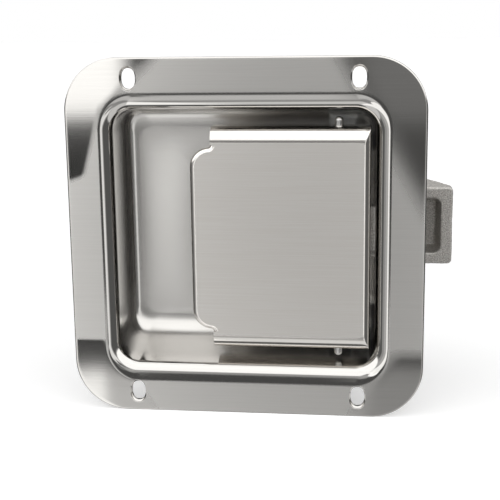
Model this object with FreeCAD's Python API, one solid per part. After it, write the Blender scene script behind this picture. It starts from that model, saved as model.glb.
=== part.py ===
import FreeCAD, Part
import math
import os

# Flush paddle latch, seen from the front of the door it is set into. Millimetres.
# +X points to the bolt's side, +Y goes back through the door, +Z is up.
# The origin is the centre of the four screw slots, on the back of the flange.

Vector = FreeCAD.Vector

# Stamped pan: a flange round a drafted pocket, pressed from one sheet
pan_sheet = 1.9
flange_width = 124.4
flange_height = 126.0
flange_corner_radius = 18.5
flange_side = 16.7              # flange's edge to the pocket's side wall, at the front face
flange_end = 17.2               # the same, above and below
pocket_corner_radius = 7.5
pocket_depth = 22.0             # flange's front face to the front of the floor
wall_draft = 2.0                # degrees
mouth_bend_radius = 5.5         # front face of the bend from flange to wall
floor_bend_radius = 6.0         # front face of the bend from wall to floor
edge_round = 0.6                # dressed outer edge of the flange

# Four upright screw slots in the flange
slot_from_side = 22.8           # flange's edge to a slot's middle
slot_from_end = 7.15
slot_width = 5.2
slot_length = 7.0
slot_coin_depth = 1.1           # each slot's front is coined to a wider oval
slot_coin_side = 0.5            # how much wider, at each side
slot_coin_end = 1.4             # how much longer, at each end

# Window in the floor and the lower wall, where the paddle's tail meets the bolt
window_left_reach = 6.4         # hinge axis to the window's left edge
window_right_reach = 19.6
window_front = 15.0
window_height = 18.0
window_corner_radius = 1.5

# Paddle: folded sheet with a finger tongue on its left
paddle_sheet = 1.9
paddle_side_gap = 2.1           # outer face of the right-hand fold to the pocket's wall
paddle_end_gap = 6.5            # upper and lower folds to the pocket's walls
paddle_left = -18.8             # edge of the tongue
paddle_proud = 0.0              # how far its face stands out of the flange's front
paddle_fold_radius = 5.2        # outer radius of the upper and lower folds
paddle_side_fold_radius = 2.3   # outer radius of the right-hand fold
paddle_side_depth = 10.5        # face to the back edge of the folds
fold_start = -11.4              # left end of the upper and lower folds
fold_nose_radius = 2.0          # rounded back corner of each fold, at its left end
tongue_corner_radius = 6.8
tongue_neck_radius = 2.2
tongue_edge_round = 1.3
tongue_drop = 2.1               # fold's bend line to the top of the tongue's corner

# Hinge: a headed pin through the paddle's folds and two lugs welded to the pan's floor
hinge_inset = 11.0              # hinge axis to the outer face of the right-hand fold
hinge_y = 4.6
pin_radius = 1.2
pin_play = 0.05                 # radial, pin in its holes
pin_head_radius = 1.5
pin_head_length = 3.1           # dome and all, outside the paddle's fold
pin_head_dome = 1.35            # radius of the rounded end
lug_sheet = 2.0
lug_gap = 0.8                   # lug to the inside of the paddle's fold
lug_tip_radius = 3.0
lug_base_half = 5.0             # half width where the lug meets its foot
lug_rivet_gap = 1.5             # end of the lug's foot to the bracket rivet's head
lug_bend_radius = 2.6           # outer

# Tail of the paddle, which draws the bolt
tail_reach = 22.0               # hinge axis to the middle of the tail's rounded tip
tail_lead = 15.0                # degrees, at rest, to the right of straight back
tail_height = 14.0
tail_root = 7.0                 # depth at which the tail turns out of the right-hand fold

# Cast bolt
bolt_reach = 10.5               # tip of the nose past the flange's edge
bolt_front = 29.5
bolt_thickness = 16.5
bolt_share = 0.3626             # bolt's height at its front face, as a share of the paddle's
bolt_draft = 3.0                # degrees, upper and lower faces widen to the back
bolt_rear = -4.0                # left end of the bolt, where its springs push
shoulder_reach = 16.6           # hinge axis to where the nose begins
bolt_corner_radius = 1.6
bolt_edge_round = 0.6           # rounded edge of the nose's front face
nose_step = 0.4                 # front of the nose ahead of the rest of the bolt's front
nose_flat = 3.5                 # blunt width of the tip before the slope
nose_slope = 57.0               # degrees between the slope and the front face
pocket_rim = 4.1                # rim above and below the nose's cored recess
recess_depth = 9.0
recess_tip_wall = 4.3           # recess to the bolt's tip
recess_side_draft = 9.0         # degrees
recess_shoulder_wall = 2.0      # nose's shoulder to the recess
recess_corner_radius = 1.2

# Front block of the bolt: two rails against the pan and the drive slot between them
rail_clearance = 0.3
rail_width = 4.2
rail_reach = 5.6                # hinge axis to the rails' right ends
rib_front = 25.0
rib_reach = 9.4                 # hinge axis to the rib
rib_width = 2.8
rib_height = 17.4
shelf_step = 1.8                # front of the shelf right of the rib, behind the rib's front
rail_inset = 0.4                # rail's outer side to the bolt's edge
rail_end_round = 1.5
drive_end = 1.2                 # wall at each end of the drive slot
drive_play = 0.25               # tail to the slot's driving face
tail_floor_play = 0.5           # tail's tip to the slot's floor
drive_wall = 5.0

# Bracket that houses the bolt behind the pan
bracket_sheet = 2.0
bracket_clearance = 0.35
bracket_left = -29.0
bracket_reach = 13.6            # hinge axis to the bracket's right end
bracket_fold_radius = 2.4       # outer
bracket_foot_bend = 1.0         # outer radius where a foot turns out
bracket_foot = 10.5
foot_corner_radius = 4.0
rivet_left = -12.0
rivet_inset = 1.4               # hinge axis to the right-hand rivets

# Rivets
rivet_shank_radius = 2.0
rivet_head_radius = 3.9
rivet_head_height = 1.3
rivet_hole_play = 0.08
rivet_heel_gap = 0.5            # how far a foot's rivet stands past the middle of the foot

# Stop pin in the bolt, which runs in a slot of the bracket
stop_radius = 2.0
stop_x = 12.0
stop_sunk = 5.0
stop_proud = 1.4                # past the bracket's back
stop_play = 0.2
stop_chamfer = 0.4
bolt_travel = 11.4

# Bolt springs, their guide rods and the plate that seats them
spring_share = 0.2807           # each spring above or below the middle, as a share of the bolt's height
spring_wire = 1.1
spring_radius = 3.1             # to the middle of the wire
spring_turns = 8
spring_pocket_depth = 19.0
spring_pocket_play = 0.5
guide_radius = 1.9
guide_reach = 16.0              # out of the plate, towards the bolt
guide_head_radius = 3.4
guide_head_height = 1.0
guide_chamfer = 0.5
seat_sheet = 2.0
seat_gap = 1.0                  # bracket's left end to the plate's outer face
seat_tab = 10.0
seat_bend = 0.6                 # inner radius of the plate's bend
seat_pan_gap = 1.2              # plate's front edge to the pan's back
seat_clearance = 0.1            # plate's edges to the bends inside the bracket

# Paddle springs round the hinge pin
torsion_wire = 1.2
torsion_radius = 3.0
torsion_turns = 4
torsion_offset = 21.0           # middle of each coil above or below the middle
torsion_leg_gap = 0.05
torsion_leg_inset = 1.6         # end of the paddle's leg to the side fold
torsion_floor_reach = 4.5       # end of the floor's leg, to the right of the pin
torsion_pitch_play = 0.15

# Derived places
pocket_width = flange_width - 2 * flange_side       # between the side walls, at the flange's front face
pocket_height = flange_height - 2 * flange_end
slot_spacing_x = flange_width - 2 * slot_from_side
slot_spacing_z = flange_height - 2 * slot_from_end
paddle_right = pocket_width / 2 - paddle_side_gap
paddle_height = pocket_height - 2 * paddle_end_gap
hinge_x = paddle_right - hinge_inset
window_left = hinge_x - window_left_reach
window_right = hinge_x + window_right_reach
bolt_tip = flange_width / 2 + bolt_reach
bolt_height = bolt_share * paddle_height
bolt_shoulder = hinge_x + shoulder_reach
recess_end = bolt_tip - recess_tip_wall
recess_start = bolt_shoulder + recess_shoulder_wall
rail_right = hinge_x + rail_reach
rib_left = hinge_x + rib_reach
rib_right = rib_left + rib_width
bracket_right = hinge_x + bracket_reach
rivet_right = hinge_x - rivet_inset
spring_offset = spring_share * bolt_height
rivet_hole_radius = rivet_shank_radius + rivet_hole_play
flange_front = -pan_sheet
floor_front = flange_front + pocket_depth
floor_back = floor_front + pan_sheet
draft_slope = math.tan(math.radians(wall_draft))
bolt_back = bolt_front + bolt_thickness
bolt_body_front = bolt_front + nose_step
bolt_slope = math.tan(math.radians(bolt_draft))
paddle_front = flange_front - paddle_proud
paddle_inner = paddle_front + paddle_sheet
tip_x = hinge_x + tail_reach * math.sin(math.radians(tail_lead))
tip_y = hinge_y + tail_reach * math.cos(math.radians(tail_lead))
tail_radius = paddle_sheet / 2
slot_floor = hinge_y + tail_reach + tail_radius + tail_floor_play
drive_face = tip_x - tail_radius - drive_play
bolt_half_back = bolt_height / 2 + bolt_thickness * bolt_slope
bracket_inner = bolt_half_back + bracket_clearance
bracket_web = bolt_back + bracket_clearance
bracket_back = bracket_web + bracket_sheet
rivet_z = bracket_inner + bracket_sheet + bracket_foot / 2 + rivet_heel_gap
spring_y = (bolt_front + bolt_back) / 2


def rounded_rectangle(half_x, half_z, radius, y, centre_x=0.0):
    """Closed outline of a rounded rectangle in the plane at depth y."""
    edges = []
    arcs = []
    for quarter, (sign_x, sign_z) in enumerate([(1, 1), (-1, 1), (-1, -1), (1, -1)]):
        middle_x = centre_x + sign_x * (half_x - radius)
        middle_z = sign_z * (half_z - radius)
        points = []
        for eighth in range(2 * quarter, 2 * quarter + 3):
            angle = eighth * math.pi / 4
            across, up = radius * math.cos(angle), radius * math.sin(angle)
            points.append(Vector(middle_x + across, y, middle_z + up))
        arcs.append(points)
    for index, points in enumerate(arcs):
        edges.append(Part.Arc(*points).toShape())
        following = arcs[(index + 1) % len(arcs)]
        edges.append(Part.makeLine(points[2], following[0]))
    return Part.Wire(edges)


def plate(half_x, half_z, radius, y, thickness, centre_x=0.0):
    """Flat plate with rounded corners, from depth y back by its thickness."""
    outline = rounded_rectangle(half_x, half_z, radius, y, centre_x)
    return Part.Face(outline).extrude(Vector(0, thickness, 0))


def box(low, high):
    """Box between two corners."""
    size = [b - a for a, b in zip(low, high)]
    return Part.makeBox(size[0], size[1], size[2], Vector(*low))


def rod(radius, start, end):
    """Round rod between two points."""
    line = Vector(*end) - Vector(*start)
    return Part.makeCylinder(radius, line.Length, Vector(*start), line)


def edges_where(shape, test):
    """Edges whose every sampled point passes a test."""
    found = []
    for edge in shape.Edges:
        first, last = edge.ParameterRange
        points = [edge.valueAt(first + (last - first) * share) for share in (0.0, 0.31, 0.5, 0.77, 1.0)]
        if all(test(point) for point in points):
            found.append(edge)
    return found


def near(value, target):
    """True where two lengths agree to a hundredth of a millimetre."""
    return abs(value - target) < 0.01


def slot_centres():
    """Places of the four screw slots."""
    for sign_x in (-1, 1):
        for sign_z in (-1, 1):
            yield sign_x * slot_spacing_x / 2, sign_z * slot_spacing_z / 2


def drafted_block(half_x, half_z, radius, slope, front, back, centre_x=0.0):
    """Rounded block whose walls draw in towards the back, its corners cones on fixed centres."""
    core_x = half_x - radius
    core_z = half_z - radius
    small = radius - (back - front) * slope
    wide = Part.makeWedge(-core_x - radius, front, -core_z, -core_z, -core_x - small,
                          core_x + radius, back, core_z, core_z, core_x + small)
    tall = Part.makeWedge(-core_x, front, -core_z - radius, -core_z - small, -core_x,
                          core_x, back, core_z + radius, core_z + small, core_x)
    corners = []
    for sign_x in (-1, 1):
        for sign_z in (-1, 1):
            foot = Vector(sign_x * core_x, front, sign_z * core_z)
            corners.append(Part.makeCone(radius, small, back - front, foot, Vector(0, 1, 0)))
    body = wide.fuse([tall] + corners).removeSplitter()
    body.translate(Vector(centre_x, 0, 0))
    return body


def pocket_block(grow, back):
    """Solid of the pressed pocket from the flange's front, its walls moved out by a distance."""
    return drafted_block(pocket_width / 2 + grow, pocket_height / 2 + grow, pocket_corner_radius + grow,
                         draft_slope, flange_front, back)


def make_pan():
    """Flange and pocket with even thickness round both bends, then its holes."""
    sheet = plate(flange_width / 2, flange_height / 2, flange_corner_radius, flange_front, pan_sheet)
    body = sheet.fuse(pocket_block(pan_sheet, floor_back)).removeSplitter()
    body = body.makeFillet(floor_bend_radius + pan_sheet, edges_where(body, lambda p: near(p.y, floor_back)))
    reach = pocket_width / 2 + 2 * pan_sheet
    in_flange = lambda p: near(p.y, 0) and abs(p.x) < reach and abs(p.z) < reach
    body = body.makeFillet(mouth_bend_radius - pan_sheet, edges_where(body, in_flange))

    hollow = pocket_block(0.0, floor_front)
    hollow = hollow.makeFillet(floor_bend_radius, edges_where(hollow, lambda p: near(p.y, floor_front)))
    body = body.cut(hollow)
    at_mouth = lambda p: near(p.y, flange_front) and abs(p.x) < reach and abs(p.z) < reach
    body = body.makeFillet(mouth_bend_radius, edges_where(body, at_mouth))
    past_mouth = pocket_width / 2 + mouth_bend_radius + 1
    at_rim = lambda p: near(p.y, flange_front) and (abs(p.x) > past_mouth or abs(p.z) > past_mouth)
    body = body.makeFillet(edge_round, edges_where(body, at_rim))

    for x, z in slot_centres():
        body = body.cut(slot_cutter(x, z))
    body = body.cut(window_cutter())
    for x, z in rivet_places():
        body = body.cut(rod(rivet_hole_radius, (x, floor_front - 1, z), (x, floor_back + 1, z)))
    return body


def obround(x, y, z, half_width, half_length):
    """Closed outline of an upright slot with round ends, in the plane at depth y."""
    straight = half_length - half_width
    top = z + straight
    foot = z - straight
    edges = [Part.Arc(Vector(x + half_width, y, top), Vector(x, y, top + half_width),
                      Vector(x - half_width, y, top)).toShape(),
             Part.makeLine(Vector(x - half_width, y, top), Vector(x - half_width, y, foot)),
             Part.Arc(Vector(x - half_width, y, foot), Vector(x, y, foot - half_width),
                      Vector(x + half_width, y, foot)).toShape(),
             Part.makeLine(Vector(x + half_width, y, foot), Vector(x + half_width, y, top))]
    return Part.Wire(edges)


def slot_cutter(x, z):
    """Screw slot: straight sides at the back and a coined oval that opens to the front."""
    half_width = slot_width / 2
    half_length = slot_length / 2
    outline = obround(x, flange_front, z, half_width, half_length)
    slot = Part.Face(outline).extrude(Vector(0, 2 * pan_sheet, 0))
    over = 1 + 1 / slot_coin_depth
    front = obround(x, flange_front - 1, z,
                    half_width + slot_coin_side * over, half_length + slot_coin_end * over)
    throat = obround(x, flange_front + slot_coin_depth, z, half_width, half_length)
    return slot.fuse(Part.makeLoft([front, throat], True, True))


def window_cutter():
    """Window through the floor and the foot of the right-hand wall."""
    middle = (window_left + window_right) / 2
    half = (window_right - window_left) / 2
    depth = floor_back + 1 - window_front
    return plate(half, window_height / 2, window_corner_radius, window_front, depth, middle)


def rivet_places():
    """Places of the four bracket rivets."""
    for x in (rivet_left, rivet_right):
        for sign in (-1, 1):
            yield x, sign * rivet_z


def paddle_outline():
    """Front outline of the paddle: the tongue's S curves run into the folds."""
    half = paddle_height / 2
    middle_x = paddle_left + tongue_corner_radius
    neck_x = fold_start - tongue_neck_radius
    reach = tongue_corner_radius + tongue_neck_radius
    lean = math.acos((neck_x - middle_x) / reach)
    middle_z = half - paddle_fold_radius - tongue_drop - tongue_corner_radius
    neck_z = middle_z + reach * math.sin(lean)
    edges = []
    for sign in (1, -1):
        def corner(angle, centre_x, centre_z, radius):
            up = centre_z + radius * math.sin(angle)
            return Vector(centre_x + radius * math.cos(angle), 0, sign * up)
        low = corner(math.pi, middle_x, middle_z, tongue_corner_radius)
        mid = corner((math.pi + lean) / 2, middle_x, middle_z, tongue_corner_radius)
        top = corner(lean, middle_x, middle_z, tongue_corner_radius)
        edges.append(Part.Arc(low, mid, top).toShape())
        turn = lean + math.pi
        neck = corner((turn + 2 * math.pi) / 2, neck_x, neck_z, tongue_neck_radius)
        out = corner(2 * math.pi, neck_x, neck_z, tongue_neck_radius)
        edges.append(Part.Arc(top, neck, out).toShape())
        shoulder = Vector(fold_start, 0, sign * (half + 1))
        edges.append(Part.makeLine(out, shoulder))
    right = paddle_right + 1
    edges.append(Part.makeLine(Vector(fold_start, 0, half + 1), Vector(right, 0, half + 1)))
    edges.append(Part.makeLine(Vector(right, 0, half + 1), Vector(right, 0, -half - 1)))
    edges.append(Part.makeLine(Vector(right, 0, -half - 1), Vector(fold_start, 0, -half - 1)))
    edges.append(Part.makeLine(Vector(paddle_left, 0, middle_z), Vector(paddle_left, 0, -middle_z)))
    return Part.Wire(Part.__sortEdges__(edges))


def folded_block(inset, back):
    """Block with the paddle's three folds rounded, moved in by a distance."""
    half = paddle_height / 2 - inset
    left = paddle_left - 5
    right = paddle_right - inset
    front = paddle_front + inset
    body = box((left, front, -half), (right, back, half))
    long_folds = edges_where(body, lambda p: near(p.y, front) and near(abs(p.z), half))
    body = body.makeFillet(paddle_fold_radius - inset, long_folds)
    right_rim = edges_where(body, lambda p: near(p.x, right) and p.y < back + 0.01)
    open_rim = edges_where(body, lambda p: near(p.x, right) and near(p.y, back))
    right_rim = [edge for edge in right_rim if not any(edge.isSame(other) for other in open_rim)]
    return body.makeFillet(paddle_side_fold_radius - inset, right_rim)


def make_tail():
    """Strip that runs back from the right-hand fold to the bolt, with a rounded tip."""
    middle_x = paddle_right - paddle_sheet / 2
    root = Vector(middle_x, tail_root, 0)
    tip = Vector(tip_x, tip_y, 0)
    line = tip - root
    along = Vector(line).normalize()
    across = Vector(along.y, -along.x, 0) * tail_radius
    start = Vector(middle_x, tail_root - 4, 0)
    offset = Vector(tail_radius, 0, 0)
    bend = tail_radius * math.tan(math.atan2(-along.x, along.y) / 2)
    outer = root + offset + Vector(0, bend, 0)
    inner = root - offset - Vector(0, bend, 0)
    outline = [Part.makeLine(start - offset, inner), Part.makeLine(inner, tip - across),
               Part.Arc(tip - across, tip + along * tail_radius, tip + across).toShape(),
               Part.makeLine(tip + across, outer), Part.makeLine(outer, start + offset),
               Part.makeLine(start + offset, start - offset)]
    face = Part.Face(Part.Wire(outline))
    face.translate(Vector(0, 0, -tail_height / 2))
    return face.extrude(Vector(0, 0, tail_height))


def make_paddle():
    """Folded paddle: tongue, three folds, pin holes and the tail."""
    back = paddle_front + paddle_side_depth
    shell = folded_block(0, back).cut(folded_block(paddle_sheet, back + 1))
    outline = Part.Face(paddle_outline())
    outline.translate(Vector(0, paddle_front - 1, 0))
    body = shell.common(outline.extrude(Vector(0, paddle_side_depth + 2, 0)))
    half = paddle_height / 2
    flat_half = half - paddle_fold_radius
    at_nose = lambda p: near(p.x, fold_start) and near(p.y, back)
    body = body.makeFillet(fold_nose_radius, edges_where(body, at_nose))
    on_tongue = lambda p: near(p.y, paddle_front) and p.x < fold_start + 0.01 and abs(p.z) < flat_half
    body = body.makeFillet(tongue_edge_round, edges_where(body, on_tongue))
    hole = rod(pin_radius + pin_play, (hinge_x, hinge_y, -half - 1), (hinge_x, hinge_y, half + 1))
    body = body.cut(hole)
    return body.fuse(make_tail()).removeSplitter()


pin_half = paddle_height / 2 + pin_head_length
lug_face = paddle_height / 2 - paddle_sheet - lug_gap
lug_foot = lug_face - rivet_z - rivet_head_radius - lug_rivet_gap     # lug's outer face to its foot's end


def make_hinge_pin():
    """Hinge pin: a thin shank with a domed head at each end, outside the paddle's folds."""
    half = paddle_height / 2
    body = rod(pin_radius, (hinge_x, hinge_y, -half), (hinge_x, hinge_y, half))
    for sign in (-1, 1):
        head = rod(pin_head_radius, (hinge_x, hinge_y, sign * half), (hinge_x, hinge_y, sign * pin_half))
        head = head.makeFillet(pin_head_dome, edges_where(head, lambda p: near(abs(p.z), pin_half)))
        body = body.fuse(head)
    return body.removeSplitter()


def make_lug(sign):
    """Hinge lug: a tapered upright with the pin's hole, and a foot welded to the pan's floor."""
    tip = [Vector(hinge_x - lug_tip_radius, hinge_y, 0), Vector(hinge_x, hinge_y - lug_tip_radius, 0),
           Vector(hinge_x + lug_tip_radius, hinge_y, 0)]
    low_left = Vector(hinge_x - lug_base_half, floor_front, 0)
    low_right = Vector(hinge_x + lug_base_half, floor_front, 0)
    outline = [Part.Arc(*tip).toShape(), Part.makeLine(tip[2], low_right),
               Part.makeLine(low_right, low_left), Part.makeLine(low_left, tip[0])]
    upright = Part.Face(Part.Wire(outline)).extrude(Vector(0, 0, lug_foot))
    hollow = box((hinge_x - 2 * lug_base_half, hinge_y - 2 * lug_tip_radius, -1),
                 (hinge_x + 2 * lug_base_half, floor_front - lug_sheet, lug_foot - lug_sheet))
    body = upright.cut(hollow)
    at_heel = lambda p: near(p.z, lug_foot) and near(p.y, floor_front)
    body = body.makeFillet(lug_bend_radius, edges_where(body, at_heel))
    at_crook = lambda p: near(p.z, lug_foot - lug_sheet) and near(p.y, floor_front - lug_sheet)
    body = body.makeFillet(lug_bend_radius - lug_sheet, edges_where(body, at_crook))
    body = body.cut(rod(pin_radius + pin_play, (hinge_x, hinge_y, -1), (hinge_x, hinge_y, lug_foot + 1)))
    body.translate(Vector(0, 0, lug_face - lug_foot))
    if sign < 0:
        body.rotate(Vector(0, 0, 0), Vector(0, 1, 0), 180)
        body.translate(Vector(2 * hinge_x, 0, 0))
    return body


def wire_section(radius, wire, slope):
    """Six-sided section of a spring's wire, square to the start of its helix."""
    along = Vector(0, 1, slope).normalize()
    across = along.cross(Vector(1, 0, 0))
    points = []
    for corner in range(6):
        turn = math.radians(60 * corner)
        points.append(Vector(radius, 0, 0) + Vector(1, 0, 0) * (wire / 2 * math.cos(turn))
                      + across * (wire / 2 * math.sin(turn)))
    return Part.makePolygon(points + [points[0]])


def coil(radius, wire, pitch, turns):
    """Wire wound about the Z axis, its middle line starting at (radius, 0, 0)."""
    section = wire_section(radius, wire, pitch / (2 * math.pi * radius))
    return Part.Wire(Part.makeHelix(pitch, pitch * turns, radius)).makePipeShell([section], True, True)


def make_bolt():
    """Sand-cast bolt: sloped nose with a cored recess, guide rails and the drive slot."""
    slope_end = bolt_tip - (bolt_thickness - nose_flat) / math.tan(math.radians(nose_slope))
    half_back = bolt_half_back
    profile = [(bolt_rear, bolt_body_front), (bolt_shoulder, bolt_body_front), (bolt_shoulder, bolt_front),
               (bolt_tip, bolt_front), (bolt_tip, bolt_front + nose_flat), (slope_end, bolt_back),
               (bolt_rear, bolt_back)]
    points = [Vector(x, y, -half_back) for x, y in profile]
    body = Part.Face(Part.makePolygon(points + [points[0]])).extrude(Vector(0, 0, 2 * half_back))
    length = bolt_tip - bolt_rear + 2
    for sign in (-1, 1):
        wedge = [Vector(bolt_rear - 1, bolt_front - 1, sign * (bolt_height / 2 - bolt_slope)),
                 Vector(bolt_rear - 1, bolt_back + 1, sign * (half_back + bolt_slope)),
                 Vector(bolt_rear - 1, bolt_front - 1, sign * (half_back + 2))]
        body = body.cut(Part.Face(Part.makePolygon(wedge + [wedge[0]])).extrude(Vector(length, 0, 0)))
    flat_end = bolt_front + nose_flat + 0.01
    at_tip = lambda p: near(p.x, bolt_tip) and p.y < flat_end and abs(p.z) > bolt_height / 4
    tip_edges = [e for e in edges_where(body, at_tip) if e.BoundBox.YLength > nose_flat / 2]
    body = body.makeFillet(bolt_corner_radius, tip_edges)
    nose_rim = edges_where(body, lambda p: near(p.y, bolt_front) and p.x > bolt_shoulder - 0.01)
    nose_rim = [e for e in nose_rim if e.BoundBox.XMax > bolt_shoulder + 0.1]
    body = body.makeFillet(bolt_edge_round, nose_rim)

    rail_top = bolt_height / 2 - rail_inset
    for sign in (-1, 1):
        low, high = sorted((sign * rail_top, sign * (rail_top - rail_width)))
        rail = box((bolt_rear, floor_back + rail_clearance, low), (rail_right, bolt_body_front + 1, high))
        uprights = edges_where(rail, lambda p: near(p.x, rail_right))
        rail = rail.makeFillet(rail_end_round, [e for e in uprights if e.BoundBox.YLength < 0.1])
        body = body.fuse(rail)
    rib_half = rib_height / 2
    inside = bolt_body_front + 1
    wall = box((drive_face - drive_wall, rib_front, -rib_half), (drive_face, inside, rib_half))
    rib = box((rib_left, rib_front, -rib_half), (rib_right, inside, rib_half))
    shelf_end = bolt_shoulder - nose_step
    shelf = box((rib_right, rib_front + shelf_step, -rib_half), (shelf_end, inside, rib_half))
    body = body.fuse([wall, rib, shelf])
    drive_half = rib_half - drive_end
    body = body.cut(box((drive_face, rib_front - 1, -drive_half), (rib_left, slot_floor, drive_half)))
    body = body.cut(recess_cutter())
    pocket_radius = spring_radius + spring_wire / 2 + spring_pocket_play
    for sign in (-1, 1):
        body = body.cut(rod(pocket_radius, (bolt_rear - 1, spring_y, sign * spring_offset),
                            (bolt_rear + spring_pocket_depth, spring_y, sign * spring_offset)))
    body = body.cut(rod(stop_radius, (stop_x, bolt_back + 1, 0), (stop_x, bolt_back - stop_sunk, 0)))
    return body.removeSplitter()


def recess_cutter():
    """Cored recess in the front of the nose, its walls drafted."""
    slope = math.tan(math.radians(recess_side_draft))
    front = bolt_front - 1
    floor = bolt_front + recess_depth
    half_x = (recess_end - recess_start) / 2 + slope
    half_z = bolt_height / 2 - pocket_rim + slope
    radius = recess_corner_radius + (floor - front) * slope
    middle = (recess_start + recess_end) / 2
    return drafted_block(half_x, half_z, radius, slope, front, floor, middle)


def make_stop_pin():
    """Pressed pin in the back of the bolt."""
    end = bracket_back + stop_proud
    body = rod(stop_radius, (stop_x, bolt_back - stop_sunk, 0), (stop_x, end, 0))
    return body.makeChamfer(stop_chamfer, edges_where(body, lambda p: near(p.y, end)))


def make_bracket():
    """Folded channel with two riveted feet, open to the right for the bolt."""
    outer_half = bracket_inner + bracket_sheet
    outer = box((bracket_left, floor_back, -outer_half), (bracket_right, bracket_back, outer_half))
    outer = outer.makeFillet(bracket_fold_radius, edges_where(
        outer, lambda p: near(p.y, bracket_back) and near(abs(p.z), outer_half)))
    foot_end = outer_half + bracket_foot
    feet = box((bracket_left, floor_back, -foot_end), (bracket_right, floor_back + bracket_sheet, foot_end))
    feet = feet.makeFillet(foot_corner_radius, edges_where(
        feet, lambda p: near(abs(p.z), foot_end) and (near(p.x, bracket_left) or near(p.x, bracket_right))))
    body = outer.fuse(feet)
    foot_back = floor_back + bracket_sheet
    inner_bend = edges_where(body, lambda p: near(p.y, foot_back) and near(abs(p.z), outer_half))
    body = body.makeFillet(bracket_foot_bend, inner_bend)
    inner = box((bracket_left - 1, floor_back - 1, -bracket_inner),
                (bracket_right + 1, bracket_web, bracket_inner))
    inner = inner.makeFillet(bracket_fold_radius - bracket_sheet, edges_where(
        inner, lambda p: near(p.y, bracket_web) and near(abs(p.z), bracket_inner)))
    body = body.cut(inner)
    for x, z in rivet_places():
        body = body.cut(rod(rivet_hole_radius, (x, floor_back - 1, z), (x, foot_back + 1, z)))
    half = stop_radius + stop_play
    slot_low = stop_x - bolt_travel - stop_play
    slot_high = stop_x + stop_play
    body = body.cut(box((slot_low, bracket_web - 1, -half), (slot_high, bracket_back + 1, half)))
    for x in (slot_low, slot_high):
        body = body.cut(rod(half, (x, bracket_web - 1, 0), (x, bracket_back + 1, 0)))
    for place in seat_rivet_places():
        body = body.cut(seat_rivet_hole(place))
    return body.removeSplitter()


def seat_rivet_places():
    """Height of the two rivets that hold the spring plate's tab to the bracket's web."""
    return (-spring_offset, spring_offset)


seat_rivet_x = bracket_left + seat_gap + seat_sheet + seat_tab / 2 + rivet_heel_gap
seat_front_y = floor_back + seat_pan_gap


def seat_rivet_hole(z):
    """Hole through the web and the tab for one plate rivet."""
    return rod(rivet_hole_radius, (seat_rivet_x, bracket_web - bracket_sheet - 2, z),
               (seat_rivet_x, bracket_back + 1, z))


def make_spring_plate():
    """Angled plate across the bracket's left end: one leg seats the springs, one is riveted."""
    left = bracket_left + seat_gap
    half = bracket_inner - (bracket_fold_radius - bracket_sheet) - seat_clearance
    tab_end = left + seat_sheet + seat_tab
    back = bracket_web
    outer = box((left, seat_front_y, -half), (tab_end, back, half))
    outer = outer.makeFillet(seat_sheet + seat_bend, edges_where(
        outer, lambda p: near(p.x, left) and near(p.y, back)))
    inner = box((left + seat_sheet, seat_front_y - 1, -half - 1), (tab_end + 1, back - seat_sheet, half + 1))
    inner = inner.makeFillet(seat_bend, edges_where(
        inner, lambda p: near(p.x, left + seat_sheet) and near(p.y, back - seat_sheet)))
    body = outer.cut(inner)
    for z in seat_rivet_places():
        body = body.cut(seat_rivet_hole(z))
        body = body.cut(rod(guide_radius, (left - 1, spring_y, z), (left + seat_sheet + 1, spring_y, z)))
    return body


def make_spring_guide(sign):
    """Headed guide rod staked through the spring plate."""
    z = sign * spring_offset
    left = bracket_left + seat_gap
    end = left + seat_sheet + guide_reach
    shank = rod(guide_radius, (left, spring_y, z), (end, spring_y, z))
    shank = shank.makeChamfer(guide_chamfer, edges_where(shank, lambda p: near(p.x, end)))
    head = rod(guide_head_radius, (left - guide_head_height, spring_y, z), (left, spring_y, z))
    return shank.fuse(head).removeSplitter()


def make_bolt_spring(sign):
    """Compression spring from the plate to the bottom of its pocket in the bolt."""
    start = bracket_left + seat_gap + seat_sheet
    end = bolt_rear + spring_pocket_depth
    spring = coil(spring_radius, spring_wire, (end - start - spring_wire) / spring_turns, spring_turns)
    spring.rotate(Vector(0, 0, 0), Vector(0, 1, 0), 90)
    spring.translate(Vector(start + spring_wire / 2, spring_y, sign * spring_offset))
    return spring


def make_rivet(x, z):
    """Dome-headed rivet through the bracket's foot and the pan's floor."""
    front = floor_front
    back = floor_back + bracket_sheet
    shank = rod(rivet_shank_radius, (x, front, z), (x, back, z))
    return shank.fuse([dome(x, front, z, -1), dome(x, back, z, 1)]).removeSplitter()


def dome(x, y, z, way):
    """Rivet head: a low dome on a flat base, standing out along Y."""
    rise = rivet_head_height
    width = rivet_head_radius
    sphere = (width * width + rise * rise) / (2 * rise)
    ball = Part.makeSphere(sphere, Vector(x, y + way * (rise - sphere), z))
    low, high = sorted((y, y + way * (rise + 1)))
    return ball.common(box((x - width - 1, low, z - width - 1), (x + width + 1, high, z + width + 1)))


def make_seat_rivet(z):
    """Rivet through the spring plate's tab and the bracket's web."""
    front = bracket_web - seat_sheet
    shank = rod(rivet_shank_radius, (seat_rivet_x, front, z), (seat_rivet_x, bracket_back, z))
    heads = [dome(seat_rivet_x, front, z, -1), dome(seat_rivet_x, bracket_back, z, 1)]
    return shank.fuse(heads).removeSplitter()


def tangent_point(end, side):
    """Angle on the coil's rim from which a tangent reaches an end point."""
    dx, dy = end[0] - hinge_x, end[1] - hinge_y
    return math.atan2(dy, dx) + side * math.acos(torsion_radius / math.hypot(dx, dy))


def leg(angle, height, slope, way, end):
    """Straight wire that carries on from the end of a coil as far as an end point."""
    out = Vector(math.cos(angle), math.sin(angle), 0) * torsion_radius
    start = Vector(hinge_x, hinge_y, height) + out
    along = Vector(-math.sin(angle), math.cos(angle), slope) * way
    reach = math.hypot(end[0] - start.x, end[1] - start.y) * math.hypot(1, slope)
    return Part.makeCylinder(torsion_wire / 2, reach, start, along)


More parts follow.
